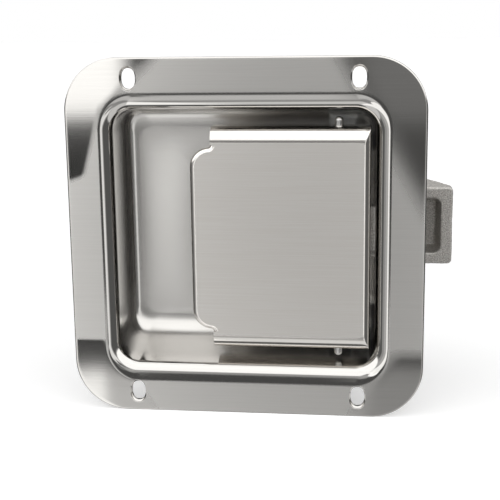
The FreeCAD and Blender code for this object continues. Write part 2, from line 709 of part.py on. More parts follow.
def make_paddle_spring(sign):
    """Torsion spring on the hinge pin: one leg on the paddle, one on the pan's floor."""
    radius = torsion_wire / 2
    paddle_end = (paddle_right - paddle_sheet - torsion_leg_inset, paddle_inner + radius + torsion_leg_gap)
    floor_end = (hinge_x + torsion_floor_reach, floor_front - radius - torsion_leg_gap)
    paddle_angle = tangent_point(paddle_end, -1)
    floor_angle = tangent_point(floor_end, 1)
    pitch = torsion_wire + torsion_pitch_play
    slope = pitch / (2 * math.pi * torsion_radius)
    turns = torsion_turns + ((paddle_angle - floor_angle) / (2 * math.pi)) % 1
    low = sign * torsion_offset - turns * pitch / 2
    spring = coil(torsion_radius, torsion_wire, pitch, turns)
    spring.rotate(Vector(0, 0, 0), Vector(0, 0, 1), math.degrees(floor_angle))
    spring.translate(Vector(hinge_x, hinge_y, low))
    floor_leg = leg(floor_angle, low, slope, -1, floor_end)
    paddle_leg = leg(paddle_angle, low + turns * pitch, slope, 1, paddle_end)
    return spring.fuse([floor_leg, paddle_leg])


parts = {
    "pan": make_pan(),
    "paddle": make_paddle(),
    "hinge_pin": make_hinge_pin(),
    "hinge_lug_upper": make_lug(1),
    "hinge_lug_lower": make_lug(-1),
    "paddle_spring_upper": make_paddle_spring(1),
    "paddle_spring_lower": make_paddle_spring(-1),
    "bolt": make_bolt(),
    "bolt_stop_pin": make_stop_pin(),
    "bolt_bracket": make_bracket(),
    "spring_plate": make_spring_plate(),
    "spring_guide_upper": make_spring_guide(1),
    "spring_guide_lower": make_spring_guide(-1),
    "bolt_spring_upper": make_bolt_spring(1),
    "bolt_spring_lower": make_bolt_spring(-1),
}
for number, (rivet_x, rivet_height) in enumerate(rivet_places(), 1):
    parts["bracket_rivet_%d" % number] = make_rivet(rivet_x, rivet_height)
for name, height in zip(("lower", "upper"), seat_rivet_places()):
    parts["plate_rivet_" + name] = make_seat_rivet(height)

os.makedirs("parts", exist_ok=True)
for name, shape in parts.items():
    solids = shape.Solids
    solid = solids[0] if len(solids) == 1 else Part.makeCompound(solids)
    print(name, len(solids), "solid", shape.isValid(), round(shape.Volume, 1), "mm3")
    solid.exportStep("parts/%s.step" % name)
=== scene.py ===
import bpy
import bmesh
import math
from mathutils import Matrix, Vector, noise


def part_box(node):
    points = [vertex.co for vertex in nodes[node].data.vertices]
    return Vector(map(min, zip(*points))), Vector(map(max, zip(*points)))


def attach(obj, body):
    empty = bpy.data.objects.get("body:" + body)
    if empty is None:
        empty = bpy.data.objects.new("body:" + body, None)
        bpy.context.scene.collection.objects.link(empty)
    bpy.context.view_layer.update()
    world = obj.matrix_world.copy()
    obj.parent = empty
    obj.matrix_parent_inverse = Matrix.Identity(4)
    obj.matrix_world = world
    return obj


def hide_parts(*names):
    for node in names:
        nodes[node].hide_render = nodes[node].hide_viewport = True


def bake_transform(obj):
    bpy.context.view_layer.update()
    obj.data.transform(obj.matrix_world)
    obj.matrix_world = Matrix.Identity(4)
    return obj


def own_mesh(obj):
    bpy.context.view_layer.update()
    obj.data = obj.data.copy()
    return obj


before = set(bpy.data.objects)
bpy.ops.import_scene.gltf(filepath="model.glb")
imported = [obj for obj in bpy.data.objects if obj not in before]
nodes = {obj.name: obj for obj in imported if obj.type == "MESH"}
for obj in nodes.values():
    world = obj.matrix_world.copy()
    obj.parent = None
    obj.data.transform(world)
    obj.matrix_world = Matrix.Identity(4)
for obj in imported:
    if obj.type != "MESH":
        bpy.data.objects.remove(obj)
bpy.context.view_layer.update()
mm = 0.001
scene = bpy.context.scene

samePlace = 1e-6                  # in metres, nearer than this two places count as one
mergeReach = 1e-7                 # and nearer than this vertices are merged
foldedEdge = math.radians(60)     # faces that meet at more than this make an edge that gets dressed
faceWeight = 80                   # how far the large faces lead the shading


# Small helpers

def hexColour(code):  # sRGB hex to the linear values that shaders take
    channels = [int(code[i:i + 2], 16) / 255 for i in (1, 3, 5)]
    return [c / 12.92 if c <= 0.04045 else ((c + 0.055) / 1.055) ** 2.4 for c in channels] + [1.0]


def addNode(tree, kind, inputs=None, **settings):  # a socket among the inputs is linked, a value is set
    node = tree.nodes.new(kind)
    for name, value in settings.items():
        setattr(node, name, value)
    for key, value in (inputs or {}).items():
        if isinstance(value, bpy.types.NodeSocket):
            tree.links.new(value, node.inputs[key])
        else:
            node.inputs[key].default_value = value
    return node


def newMaterial(name, **sockets):  # returns the material, its tree, its shader and millimetre coordinates
    material = bpy.data.materials.new(name)
    material.use_nodes = True
    tree = material.node_tree
    shader = tree.nodes["Principled BSDF"]
    for key, value in sockets.items():
        shader.inputs[key.replace("_", " ")].default_value = value
    place = addNode(tree, "ShaderNodeTexCoord").outputs["Object"]
    inMm = addNode(tree, "ShaderNodeVectorMath", {0: place, 1: (1 / mm, 1 / mm, 1 / mm)},
                   operation="MULTIPLY")
    return material, tree, shader, inMm.outputs[0]


def softCover(tree, edges):  # 1 where every value has passed its edge, each given as value, first and last
    cover = None
    for value, first, last in edges:
        side = addNode(tree, "ShaderNodeMapRange", {0: value, 1: first, 2: last},
                       interpolation_type="SMOOTHSTEP").outputs[0]
        if cover is None:
            cover = side
        else:
            cover = addNode(tree, "ShaderNodeMath", {0: cover, 1: side}, operation="MULTIPLY").outputs[0]
    return cover


def newObject(name, data):
    made = bpy.data.objects.new(name, data)
    scene.collection.objects.link(made)
    return made


def baked(mesh, kind, **settings):  # the mesh with one modifier applied
    holder = newObject("holder", mesh)
    modifier = holder.modifiers.new(kind, kind)
    for name, value in settings.items():
        setattr(modifier, name, value)
    result = bpy.data.meshes.new_from_object(holder.evaluated_get(bpy.context.evaluated_depsgraph_get()))
    bpy.data.objects.remove(holder)
    return result


def polished(mesh, material, sharpAngle):  # smooth shading that keeps flat faces flat
    mesh.materials.clear()
    mesh.materials.append(material)
    mesh.shade_smooth()
    mesh.set_sharp_from_angle(angle=math.radians(sharpAngle))
    return baked(mesh, "WEIGHTED_NORMAL", keep_sharp=True, weight=faceWeight)


def asMesh(work, name):
    mesh = bpy.data.meshes.new(name)
    work.to_mesh(mesh)
    work.free()
    return mesh


def bridge(work, rows):  # faces from each closed row of vertices to the next
    count = len(rows[0])
    for low, high in zip(rows, rows[1:]):
        for index in range(count):
            following = (index + 1) % count
            work.faces.new((low[index], low[following], high[following], high[index]))


def sharpEdges(work):
    return [edge for edge in work.edges if len(edge.link_faces) == 2 and edge.calc_face_angle() > foldedEdge]


def addPiece(name, mesh, body, slot, *replaced):
    piece = newObject(name, mesh)
    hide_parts(*replaced)
    if body:
        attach(piece, body)
    return piece


# Camera, at the photograph's place

view = {
    "place": (50.52, -372.09, 75.90),
    "aim": (2.00, -1.90, -3.24),
    "roll": -0.775,
    "lens": 79.2,
    "sensor": 36,
}

cameraData = bpy.data.cameras.new("camera")
camera = newObject("camera", cameraData)
eye = Vector(view["place"]) * mm
sight = Vector(view["aim"]) * mm - eye
camera.matrix_world = (Matrix.Translation(eye) @ sight.to_track_quat("-Z", "Y").to_matrix().to_4x4()
                       @ Matrix.Rotation(math.radians(view["roll"]), 4, "Z"))
cameraData.lens = view["lens"]
cameraData.sensor_width = view["sensor"]
scene.camera = camera
scene.view_settings.view_transform = "Standard"
print("camera")


# Studio: soft boxes and grey cards, each by its azimuth and elevation in degrees as seen from the part.
# Azimuth 0 is straight in front, + is to the right. Each has a soft edge and a brightness.

studio = {
    "plainFront": 1.50,       # even light on matt things, from the front and from behind
    "plainBack": 0.18,
    "plainTurn": (-0.4, 0.4),   # where one gives way to the other, 1 is straight in front and -1 behind
    "tint": "#FFFFFE",
    "behind": 0.75,           # brightness where there is no card
    "cards": [
        # left, right, low, high, side edge, end edge, brightness
        (-400, 400, -95, -13, 1, 1.5, 0.70),        # grey card below
        (-400, 400, -33, -26.5, 1, 1.5, 0.34),      # darker band across it
        (-400, 400, -95, -33, 1, 2, 0.80),          # pale paper nearer to the part
        (-400, 400, -95, -66, 1, 4, 0.10),          # dark close under the part
        (-400, 400, -14.5, 3.5, 1, 1.0, 0.09),      # dark band straight ahead
        (-400, 400, 3.5, 8.0, 1, 1.0, 0.43),        # edge of the overhead box
        (-100, -60, -30, 5, 4, 3, 0.14),            # greys that lighten towards the left strip light
        (-60, -45, -30, 5, 3, 3, 0.40),
        (-45, -28, -30, 5, 3, 3, 0.58),
        (-28, -18.5, -60, 8, 1.5, 3, 1.40),         # upright strip light on the left
        (5.5, 23, -30, 5, 2.5, 3, 1.10),            # and on the right
        (23, 30, -30, 5, 2, 3, 0.45),               # greys that darken away from it
        (30, 100, -30, 5, 3, 3, 0.12),
        (-18.3, -13.4, -17.9, -4.9, 0.6, 0.3, 0.045),   # black upright card beside the left strip light
        (-18.3, -13.4, -14.2, -10, 0.6, 1.0, 0.30),     # grey stretch on it
        (-19, -13.8, -4.9, 9, 0.6, 0.3, 1.60),      # white panel above the black card
        (-19, -15.4, -60, -17.9, 0.3, 0.3, 1.45),   # and below it
        (-2, 8, -5.4, 3.5, 1.5, 0.6, 0.22),         # grey card beside the right strip light
        (-2, 8, -18.2, -16.0, 1.5, 0.5, 0.05),      # black one lower down
        (-2, 8, -26, -18.2, 1.5, 0.3, 0.35),        # and grey again under that
        (-100, 100, 9, 95, 8, 1.5, 1.55),           # large soft box overhead, in front
        (-400, 400, 45, 95, 1, 3, 1.60),            # its part behind the part
        (-100, 100, 72, 74, 8, 0.6, 1.00),          # seam between the two
        (154, 400, -24, 24, 3, 2, 0.08),            # dark card straight behind the part
        (-400, -154, -24, 24, 3, 2, 0.08),
    ],
}

world = bpy.data.worlds.new("softBoxStudio")
scene.world = world
world.use_nodes = True
sky = world.node_tree
direction = addNode(sky, "ShaderNodeTexCoord").outputs["Generated"]
axes = addNode(sky, "ShaderNodeSeparateXYZ", {0: direction})
forward = addNode(sky, "ShaderNodeMath", {0: axes.outputs[1], 1: -1.0}, operation="MULTIPLY")
turn = addNode(sky, "ShaderNodeMath", {0: axes.outputs[0], 1: forward.outputs[0]}, operation="ARCTAN2")
azimuth = addNode(sky, "ShaderNodeMath", {0: turn.outputs[0]}, operation="DEGREES").outputs[0]
lift = addNode(sky, "ShaderNodeMath", {0: axes.outputs[2]}, operation="ARCSINE")
elevation = addNode(sky, "ShaderNodeMath", {0: lift.outputs[0]}, operation="DEGREES").outputs[0]
level = addNode(sky, "ShaderNodeValue").outputs[0]
level.default_value = studio["behind"]
for left, right, low, high, sideEdge, endEdge, brightness in studio["cards"]:
    cover = softCover(sky, [(azimuth, left - sideEdge, left + sideEdge),
                            (azimuth, right + sideEdge, right - sideEdge),
                            (elevation, low - endEdge, low + endEdge),
                            (elevation, high + endEdge, high - endEdge)])
    level = addNode(sky, "ShaderNodeMix", {0: cover, 2: level, 3: brightness}, data_type="FLOAT").outputs[0]

rays = addNode(sky, "ShaderNodeLightPath").outputs
tinted = addNode(sky, "ShaderNodeVectorMath", {0: hexColour(studio["tint"])[:3], "Scale": level},
                 operation="SCALE")
mirrored = addNode(sky, "ShaderNodeMath", {0: rays["Is Glossy Ray"], 1: rays["Is Transmission Ray"]},
                   operation="MAXIMUM")
plain = addNode(sky, "ShaderNodeMapRange", {0: forward.outputs[0], 1: studio["plainTurn"][0],
                                            2: studio["plainTurn"][1], 3: studio["plainBack"],
                                            4: studio["plainFront"]})
litBy = addNode(sky, "ShaderNodeMix", {0: mirrored.outputs[0], 6: plain.outputs[0], 7: tinted.outputs[0]},
                data_type="RGBA")
shown = addNode(sky, "ShaderNodeMix", {0: rays["Is Camera Ray"], 6: litBy.outputs[2], 7: (1, 1, 1, 1)},
                data_type="RGBA")
sky.links.new(shown.outputs[2], sky.nodes["Background"].inputs["Color"])

floor = {"height": -63.0, "half": 6000.0, "whiteness": "#F4F4F4", "lift": 0.33}
floorMesh = bpy.data.meshes.new("whiteFloor")
reach = floor["half"] * mm
corners = [(-reach, -reach), (reach, -reach), (reach, reach), (-reach, reach)]
floorMesh.from_pydata([(x, y, floor["height"] * mm) for x, y in corners], [], [(0, 1, 2, 3)])
floorPiece = newObject("whiteFloor", floorMesh)
floorPiece.visible_glossy = False
floorMaterial, floorTree, floorShader, floorPlace = newMaterial("mattWhitePaper", Roughness=0.9)
floorShader.inputs["Base Color"].default_value = hexColour(floor["whiteness"])
floorShader.inputs["Emission Color"].default_value = (1, 1, 1, 1)
floorRays = addNode(floorTree, "ShaderNodeLightPath")
floorLift = addNode(floorTree, "ShaderNodeMath", {0: floorRays.outputs["Is Camera Ray"], 1: floor["lift"]},
                    operation="MULTIPLY")
floorTree.links.new(floorLift.outputs[0], floorShader.inputs["Emission Strength"])
floorMesh.materials.append(floorMaterial)
print("studio")


# Finishes. Each has two colours, and between says which stretch of its pattern leads from one to the other.
# It has its roughness where the pattern is low and high, and its relief in mm. Lines and grains are per mm.

patternRange = (0.3, 0.7)         # where most values of a noise lie

# 304 stainless sheet, brushed along X before pressing: flat faces scatter light up and down, and drawn
# bends are burnished
brushing = {
    "anisotropy": 0.5,
    "lines": (0.035, 3.0, 3.0),   # about 0.3 mm apart, as coarse as they need to be to show
    "bendUpTo": 0.9980,           # how squarely a face looks to the front, up to here it is a bend
    "flatFrom": 0.9996,           # and from here it is flat
}
sheetSteel = {
    "paddle": {"dark": "#E4E0DB", "light": "#E9E6E2", "flat": 0.32, "bend": 0.12, "relief": 0.0012},
    "pan": {"dark": "#CFCDCA", "light": "#D4D2CF", "flat": 0.30, "bend": 0.08, "relief": 0.0008},
}

# Lines that cut off the flange's four corners, where the blank holder burnished the sheet: the direction
# across each line, then its distance from the middle and its softness in mm
burnished = {
    "upperLeft": [((-0.70, 0.0, 0.714), 66.0, 7.0)],
    "leftEdge": [((-0.961, 0.0, 0.275), 60.1, 3.0), ((-0.35, 0.0, 0.937), 40.6, 3.0)],
    "lowerLeft": [((-0.825, 0.0, -0.565), 62.6, 4.0), ((0.0, 0.0, -1.0), 36.8, 1.5)],
    "upperRight": [((0.874, 0.0, 0.486), 61.0, 14.0)],
    "lowerRight": [((0.87, 0.0, -0.49), 64.0, 9.0), ((0.0, 0.0, -1.0), 39.5, 6.0)],
}
cornerRough = 0.06
pocket = {"from": 1.5, "to": 6.0, "rough": 0.26}   # depth in mm over which a satin skin takes over


def streaks(tree, place, perMm):  # noise drawn out along one axis, perMm says how fine on each
    stretched = addNode(tree, "ShaderNodeVectorMath", {0: place, 1: perMm}, operation="MULTIPLY")
    return addNode(tree, "ShaderNodeTexNoise", {"Vector": stretched.outputs[0], "Scale": 1.0, "Detail": 4.0,
                                                "Roughness": 0.6}).outputs["Fac"]


def applyLook(tree, shader, look, shadeBy, reliefBy):  # colour follows one pattern, the rest another
    start, end = look.get("between", patternRange)
    share = addNode(tree, "ShaderNodeMapRange", {0: shadeBy, 1: start, 2: end}).outputs[0]
    shade = addNode(tree, "ShaderNodeMix", {0: share, 6: hexColour(look["dark"]),
                                            7: hexColour(look["light"])}, data_type="RGBA").outputs[2]
    tree.links.new(shade, shader.inputs["Base Color"])
    if "rough" in look:
        rough = addNode(tree, "ShaderNodeMapRange", {0: reliefBy, 1: patternRange[0], 2: patternRange[1],
                                                     3: look["rough"][0], 4: look["rough"][1]})
        tree.links.new(rough.outputs[0], shader.inputs["Roughness"])
    relief = addNode(tree, "ShaderNodeBump", {"Height": reliefBy, "Distance": look["relief"] * mm,
                                              "Strength": 1.0})
    tree.links.new(relief.outputs[0], shader.inputs["Normal"])
    return shade


def brushedSteel(name, look):
    material, tree, shader, place = newMaterial(name, Metallic=1.0, Anisotropic=brushing["anisotropy"])
    fine = streaks(tree, place, brushing["lines"])
    applyLook(tree, shader, look, fine, fine)
    normal = addNode(tree, "ShaderNodeTexCoord").outputs["Normal"]
    facing = addNode(tree, "ShaderNodeSeparateXYZ", {0: normal})
    flatness = addNode(tree, "ShaderNodeMath", {0: facing.outputs[1]}, operation="ABSOLUTE")
    rough = addNode(tree, "ShaderNodeMapRange", {0: flatness.outputs[0], 1: brushing["bendUpTo"],
                                                 2: brushing["flatFrom"], 3: look["bend"], 4: look["flat"]})
    upright = addNode(tree, "ShaderNodeVectorTransform", {0: (0, 0, 1)}, vector_type="VECTOR",
                      convert_from="OBJECT", convert_to="WORLD")
    tree.links.new(upright.outputs[0], shader.inputs["Tangent"])
    return material, tree, shader, place, rough.outputs[0]


paddleMetal, tree, shader, place, rough = brushedSteel("brushedStainlessPaddle", sheetSteel["paddle"])
tree.links.new(rough, shader.inputs["Roughness"])

panMetal, tree, shader, place, rough = brushedSteel("pressedStainlessPan", sheetSteel["pan"])
burnish = None
for lines in burnished.values():
    edges = []
    for across, distance, soft in lines:
        along = addNode(tree, "ShaderNodeVectorMath", {0: place, 1: across}, operation="DOT_PRODUCT")
        edges.append((along.outputs["Value"], distance - soft / 2, distance + soft / 2))
    cover = softCover(tree, edges)
    if burnish is None:
        burnish = cover
    else:
        burnish = addNode(tree, "ShaderNodeMath", {0: burnish, 1: cover}, operation="MAXIMUM").outputs[0]
depth = addNode(tree, "ShaderNodeSeparateXYZ", {0: place}).outputs[1]
inside = softCover(tree, [(depth, pocket["from"], pocket["to"])])
for share, wanted in ((burnish, cornerRough), (inside, pocket["rough"])):
    rough = addNode(tree, "ShaderNodeMix", {0: share, 2: rough, 3: wanted}, data_type="FLOAT").outputs[0]
tree.links.new(rough, shader.inputs["Roughness"])

# Ground steel pin with turned domed heads: bright, with the finest of rings
pinLook = {"dark": "#B9B8B6", "light": "#CFCECC", "relief": 0.003, "lines": (4.0, 4.0, 0.4)}
pinMetal, tree, shader, place = newMaterial("groundSteelPin", Metallic=1.0, Roughness=0.22)
turned = streaks(tree, place, pinLook["lines"])
applyLook(tree, shader, pinLook, turned, turned)

# Bare sand-cast steel, tumbled: rough matt grey, with edges lightened partly as rubbed bare metal and partly
# as a painted highlight
castLook = {"dark": "#8D8A86", "light": "#D2CFCB", "between": (0.38, 0.62), "rough": (0.38, 0.60),
            "relief": 0.3, "grain": 2.2, "rubbedWithHighlight": "#E4E2DF", "rubbedWithHighlightFrom": (0.52, 0.60), "rubbedWithHighlightShare": 0.8}
castMetal, tree, shader, place = newMaterial("sandCastSteel", Metallic=1.0)
grain = addNode(tree, "ShaderNodeTexNoise", {"Vector": place, "Scale": castLook["grain"], "Detail": 6.0,
                                             "Roughness": 0.65}).outputs["Fac"]
shade = applyLook(tree, shader, castLook, grain, grain)
# sharp edges lightened towards near white: partly rubbed bare metal, partly a painted highlight
wearAndHighlightEdge = addNode(tree, "ShaderNodeNewGeometry").outputs["Pointiness"]
edgeShare = addNode(tree, "ShaderNodeMapRange", {0: wearAndHighlightEdge, 1: castLook["rubbedWithHighlightFrom"][0],
                                                 2: castLook["rubbedWithHighlightFrom"][1], 4: castLook["rubbedWithHighlightShare"]})
rubbedWithHighlight = addNode(tree, "ShaderNodeMix", {0: edgeShare.outputs[0], 6: shade, 7: hexColour(castLook["rubbedWithHighlight"])},
                 data_type="RGBA")
tree.links.new(rubbedWithHighlight.outputs[2], shader.inputs["Base Color"])

# Zinc-plated pressed sheet: pale blue grey with soft spangle
zincLook = {"dark": "#B4B8BB", "light": "#C8CBCC", "between": (0.1, 1.2), "rough": (0.26, 0.38),
            "relief": 0.002, "spangle": 0.28, "lines": (0.08, 2.0, 2.0)}
zincMetal, tree, shader, place = newMaterial("zincPlatedSheet", Metallic=1.0)
spangle = addNode(tree, "ShaderNodeTexVoronoi", {"Vector": place, "Scale": zincLook["spangle"]})
applyLook(tree, shader, zincLook, spangle.outputs["Distance"], streaks(tree, place, zincLook["lines"]))

# Zinc-plated rivet steel headed in a die: slightly uneven sheen
rivetLook = {"dark": "#AEB1B3", "light": "#C6C8C9", "rough": (0.22, 0.36), "relief": 0.02, "grain": 0.9}
rivetMetal, tree, shader, place = newMaterial("zincPlatedRivet", Metallic=1.0)
struck = addNode(tree, "ShaderNodeTexNoise", {"Vector": place, "Scale": rivetLook["grain"],
                                              "Detail": 4.0}).outputs["Fac"]
applyLook(tree, shader, rivetLook, struck, struck)

# Hard-drawn spring wire: darker and bright, with faint drawing marks
springLook = {"dark": "#97979A", "light": "#B3B3B5", "rough": (0.2, 0.34), "relief": 0.006, "grain": 1.6}
springMetal, tree, shader, place = newMaterial("drawnSpringWire", Metallic=1.0)
drawn = addNode(tree, "ShaderNodeTexNoise", {"Vector": place, "Scale": springLook["grain"],
                                             "Detail": 5.0}).outputs["Fac"]
applyLook(tree, shader, springLook, drawn, drawn)

dressed = {
    "hinge_pin": pinMetal,
    "bolt_stop_pin": pinMetal,
    "spring_guide_upper": pinMetal,
    "spring_guide_lower": pinMetal,
    "hinge_lug_upper": zincMetal,
    "hinge_lug_lower": zincMetal,
    "bolt_bracket": zincMetal,
    "spring_plate": zincMetal,
}
for node, metal in dressed.items():
    nodes[node].data.materials.clear()
    nodes[node].data.materials.append(metal)
print("finishes")


# Pan: rings of rounded rectangles follow the drawn sheet's profile, then the slots and the window are cut

pan = {
    "sheet": 1.9,
    "frontY": -1.9,
    "depth": 22.0,
    "flangeX": 62.2,
    "flangeZ": 63.0,
    "flangeCorner": 18.5,
    "rim": 0.6,                   # dressed edge at the front and at the back
    "backRim": 0.25,
    "rimSteps": 6,
    "backRimSteps": 3,
    "rimReach": 0.6,              # how far from its face an edge may lie to be dressed with it
    "cornerRadius": 7.5,
    "floorCorner": 6.0,
    "cornerSteps": 20,
    "sideSteps": 12,
    "flangeRings": 9,
    "flangeSpread": 1.15,         # above 1, the flange's rings crowd towards the mouth
    "floorRings": 21,
    "crown": 0.80,                # how far the floor bulges to the front
    "crownLean": 0.3,             # and how much more in its upper half
    "crownRise": (-41.0, -18.5),  # where along X the bulge rises
    "crownFall": (12.0, -4.0),    # and where it ends, seen from the right
    "mouthSteps": (9, 30),        # rings in the gentle dip and in the tight bend
    "floorSteps": (30, 9),        # and in the floor's bend and its gentle run-out
    # each side: wall at the flange's face, gentle dip (radius, angle), radius of the tight bend, angle of the
    # wall, radius of the bend to the floor, gentle run-out (radius, angle)
    "right": {"wall": 45.3, "dip": (6.5, 9.0), "mouth": 5.3, "tilt": 87.5, "bend": 5.0,
              "runOut": (12.0, 8.0)},
    "left": {"wall": 46.1, "dip": (6.5, 9.0), "mouth": 4.4, "tilt": 87.5, "bend": 3.4,
             "runOut": (12.0, 8.0)},
    "upper": {"wall": 45.2, "dip": (17.0, 13.0), "mouth": 3.5, "tilt": 87.0, "bend": 5.2,
              "runOut": (16.0, 10.0)},
    "lower": {"wall": 45.2, "dip": (20.0, 13.0), "mouth": 4.2, "tilt": 70.5, "bend": 7.6,
              "runOut": (12.0, 12.0)},
}


def ring(halfX, halfZ, radius, y, steps, centreX=0.0):  # rounded rectangle, all in millimetres
    points = []
    for quarter, (signX, signZ) in enumerate([(1, 1), (-1, 1), (-1, -1), (1, -1)]):
        for step in range(steps + 1):
            angle = (quarter + step / steps) * math.pi / 2
            points.append(Vector((centreX + signX * (halfX - radius) + radius * math.cos(angle), y,
                                  signZ * (halfZ - radius) + radius * math.sin(angle))) * mm)
    return points


def loft(name, rings):  # closed mesh through the rings, capped at both ends
    work = bmesh.new()
    rows = [[work.verts.new(point) for point in points] for points in rings]
    bridge(work, rows)
    work.faces.new(rows[0][::-1])
    work.faces.new(rows[-1])
    bmesh.ops.remove_doubles(work, verts=work.verts, dist=mergeReach)
    bmesh.ops.recalc_face_normals(work, faces=work.faces)
    return asMesh(work, name)


def sideProfile(side):  # (distance outside the wall, depth) of the front skin, from the flange to the floor
    dipRadius, dipAngle = pan[side]["dip"]
    outRadius, outAngle = pan[side]["runOut"]
    tilt = pan[side]["tilt"]
    bends = [(dipRadius, 0.0, dipAngle, pan["mouthSteps"][0]),
             (pan[side]["mouth"], dipAngle, tilt, pan["mouthSteps"][1]),
             (pan[side]["bend"], tilt, outAngle, pan["floorSteps"][0]),
             (outRadius, outAngle, 0.0, pan["floorSteps"][1])]
    turns = [(math.radians(first), math.radians(last)) for radius, first, last, steps in bends]
    drops = [bend[0] * abs(math.cos(first) - math.cos(last)) for bend, (first, last) in zip(bends, turns)]
    grow = sum(bend[0] * abs(math.sin(first) - math.sin(last))
               for bend, (first, last) in zip(bends[:2], turns))
    depth = 0.0
    spots = []
    for turn, (radius, first, last, steps) in enumerate(bends):
        if turn == 2:
            straight = pan["depth"] - sum(drops)
            grow -= straight / math.tan(math.radians(tilt))
            depth += straight
        start = turns[turn][0]
        for step in range(steps + 1):
            angle = math.radians(first + (last - first) * step / steps)
            spots.append((grow - radius * abs(math.sin(angle) - math.sin(start)),
                          depth + radius * abs(math.cos(angle) - math.cos(start))))
        grow, depth = spots[-1]
    return spots


def sidesFilled(points):  # adds points along the straight sides between the four corners
    arc = len(points) // 4
    filled = []
    for quarter in range(4):
        corner = points[quarter * arc:(quarter + 1) * arc]
        following = points[(quarter + 1) * arc % len(points)]
        filled += corner
        filled += [corner[-1].lerp(following, step / pan["sideSteps"]) for step in range(1, pan["sideSteps"])]
    return filled


def pocketRing(index, profiles):
    right, left, upper, lower = [(pan[side]["wall"] + profiles[side][index][0], profiles[side][index][1])
                                 for side in ("right", "left", "upper", "lower")]
    grow = min(profiles["right"][index][0], profiles["upper"][index][0])
    if grow > 0:
        radius = pan["cornerRadius"] + grow
    else:
        radius = max(pan["floorCorner"], pan["cornerRadius"] + grow / 2)
    points = []
    quarters = [(1, 1, right, upper), (-1, 1, left, upper), (-1, -1, left, lower), (1, -1, right, lower)]
    for quarter, (signX, signZ, sideX, sideZ) in enumerate(quarters):
        for step in range(pan["cornerSteps"] + 1):
            angle = (quarter + step / pan["cornerSteps"]) * math.pi / 2
            share = math.sin(angle) ** 2
            points.append(Vector((signX * (sideX[0] - radius) + radius * math.cos(angle),
                                  pan["frontY"] + sideX[1] * (1 - share) + sideZ[1] * share,
                                  signZ * (sideZ[0] - radius) + radius * math.sin(angle))) * mm)
    return sidesFilled(points)


def crownAt(point, halfZ):  # how far the floor bulges to the front at a point, in metres
    rise, fall = [max(0, min(1, (point.x / mm - first) / (last - first)))
                  for first, last in (pan["crownRise"], pan["crownFall"])]
    share = rise * rise * (3 - 2 * rise) * fall * fall * (3 - 2 * fall)
    lean = 1 + pan["crownLean"] * point.z / halfZ
    return pan["crown"] * mm * share * (1 - min(1, abs(point.z / halfZ)) ** 4) ** 1.5 * lean


def panSkin():  # front skin, from the middle of the floor out to the flange's edge
    profiles = {side: sideProfile(side) for side in ("right", "left", "upper", "lower")}
    rings = [pocketRing(index, profiles) for index in range(len(profiles["right"]))]
    edge = sidesFilled(ring(pan["flangeX"], pan["flangeZ"], pan["flangeCorner"], pan["frontY"],
                            pan["cornerSteps"]))
    flange = []
    for step in range(1, pan["flangeRings"] + 1):
        share = (step / pan["flangeRings"]) ** pan["flangeSpread"]
        flange.append([near.lerp(far, share) for near, far in zip(rings[0], edge)])
    middle = sum(rings[-1], Vector()) / len(rings[-1])
    halfZ = max(point.z for point in rings[-1])
    floorRings = []
    for step in range(pan["floorRings"], 0, -1):
        points = [middle.lerp(point, step / (pan["floorRings"] + 0.5)) for point in rings[-1]]
        for point in points:
            point.y -= crownAt(point, halfZ)
        floorRings.append(points)
    work = bmesh.new()
    rows = [[work.verts.new(point) for point in points] for points in floorRings[::-1] + rings[::-1] + flange]
    bridge(work, rows)
    work.faces.new(rows[0][::-1])
    bmesh.ops.remove_doubles(work, verts=work.verts, dist=mergeReach)
    bmesh.ops.recalc_face_normals(work, faces=work.faces)
    if sum(face.normal.y * face.calc_area() for face in work.faces) > 0:
        bmesh.ops.reverse_faces(work, faces=work.faces)
    return asMesh(work, "panSkin")


def panSheet():  # the skin given its thickness to the back, and its outer edges dressed
    mesh = baked(panSkin(), "SOLIDIFY", thickness=pan["sheet"] * mm, offset=-1.0, use_even_offset=True)
    work = bmesh.new()
    work.from_mesh(mesh)
    for side, rim, steps in ((pan["frontY"], pan["rim"], pan["rimSteps"]),
                             (pan["frontY"] + pan["sheet"], pan["backRim"], pan["backRimSteps"])):
        edges = [edge for edge in sharpEdges(work)
                 if all(abs(vertex.co.y - side * mm) < pan["rimReach"] * mm for vertex in edge.verts)]
        bmesh.ops.bevel(work, geom=edges, offset=rim * mm, segments=steps, profile=0.5, affect="EDGES")
    return asMesh(work, "panSheet")


def cutAway(mesh, cutters):  # takes closed cutter meshes out of a closed mesh
    work = bmesh.new()
    for cutter in cutters:
        work.from_mesh(cutter)
    tool = newObject("cutters", asMesh(work, "cutters"))
    result = baked(mesh, "BOOLEAN", operation="DIFFERENCE", solver="EXACT", object=tool)
    bpy.data.objects.remove(tool)
    return result


slots = {
    "apartX": 39.4,
    "apartZ": 55.85,
    "halfWidth": 2.45,
    "halfLength": 3.5,
    "squareness": 2.35,           # 2 is an ellipse
    "coinSide": 0.45,
    "coinEnd": 0.75,
    "steps": 64,
    # how much of the coin is left, and the depth below the flange's face
    "coin": [(1.6, -0.6), (1.12, -0.02), (1.0, 0.05), (0.92, 0.16), (0.80, 0.32), (0.30, 0.68), (0.10, 0.80),
             (0.0, 0.92), (0.0, 3.0)],
}


def slotCutter(x, z):  # oval, coined at the front
    rings = []
    for share, depth in slots["coin"]:
        halfWidth = slots["halfWidth"] + slots["coinSide"] * share
        halfLength = slots["halfLength"] + slots["coinEnd"] * share
        points = []
        for step in range(slots["steps"]):
            angle = 2 * math.pi * step / slots["steps"]
            bulge = (abs(math.cos(angle)) ** slots["squareness"]
                     + abs(math.sin(angle)) ** slots["squareness"]) ** (-1 / slots["squareness"])
            points.append(Vector((x + halfWidth * bulge * math.cos(angle), pan["frontY"] + depth,
                                  z + halfLength * bulge * math.sin(angle))) * mm)
        rings.append(points)
    return loft("slotCutter", rings)


# Opening in the pocket's floor for the paddle's tail
window = {"left": 26.0, "right": 52.0, "halfHeight": 9.0, "corner": 1.5, "cornerSteps": 6, "cutFrom": 15.0,
          "cutTo": 23.5}


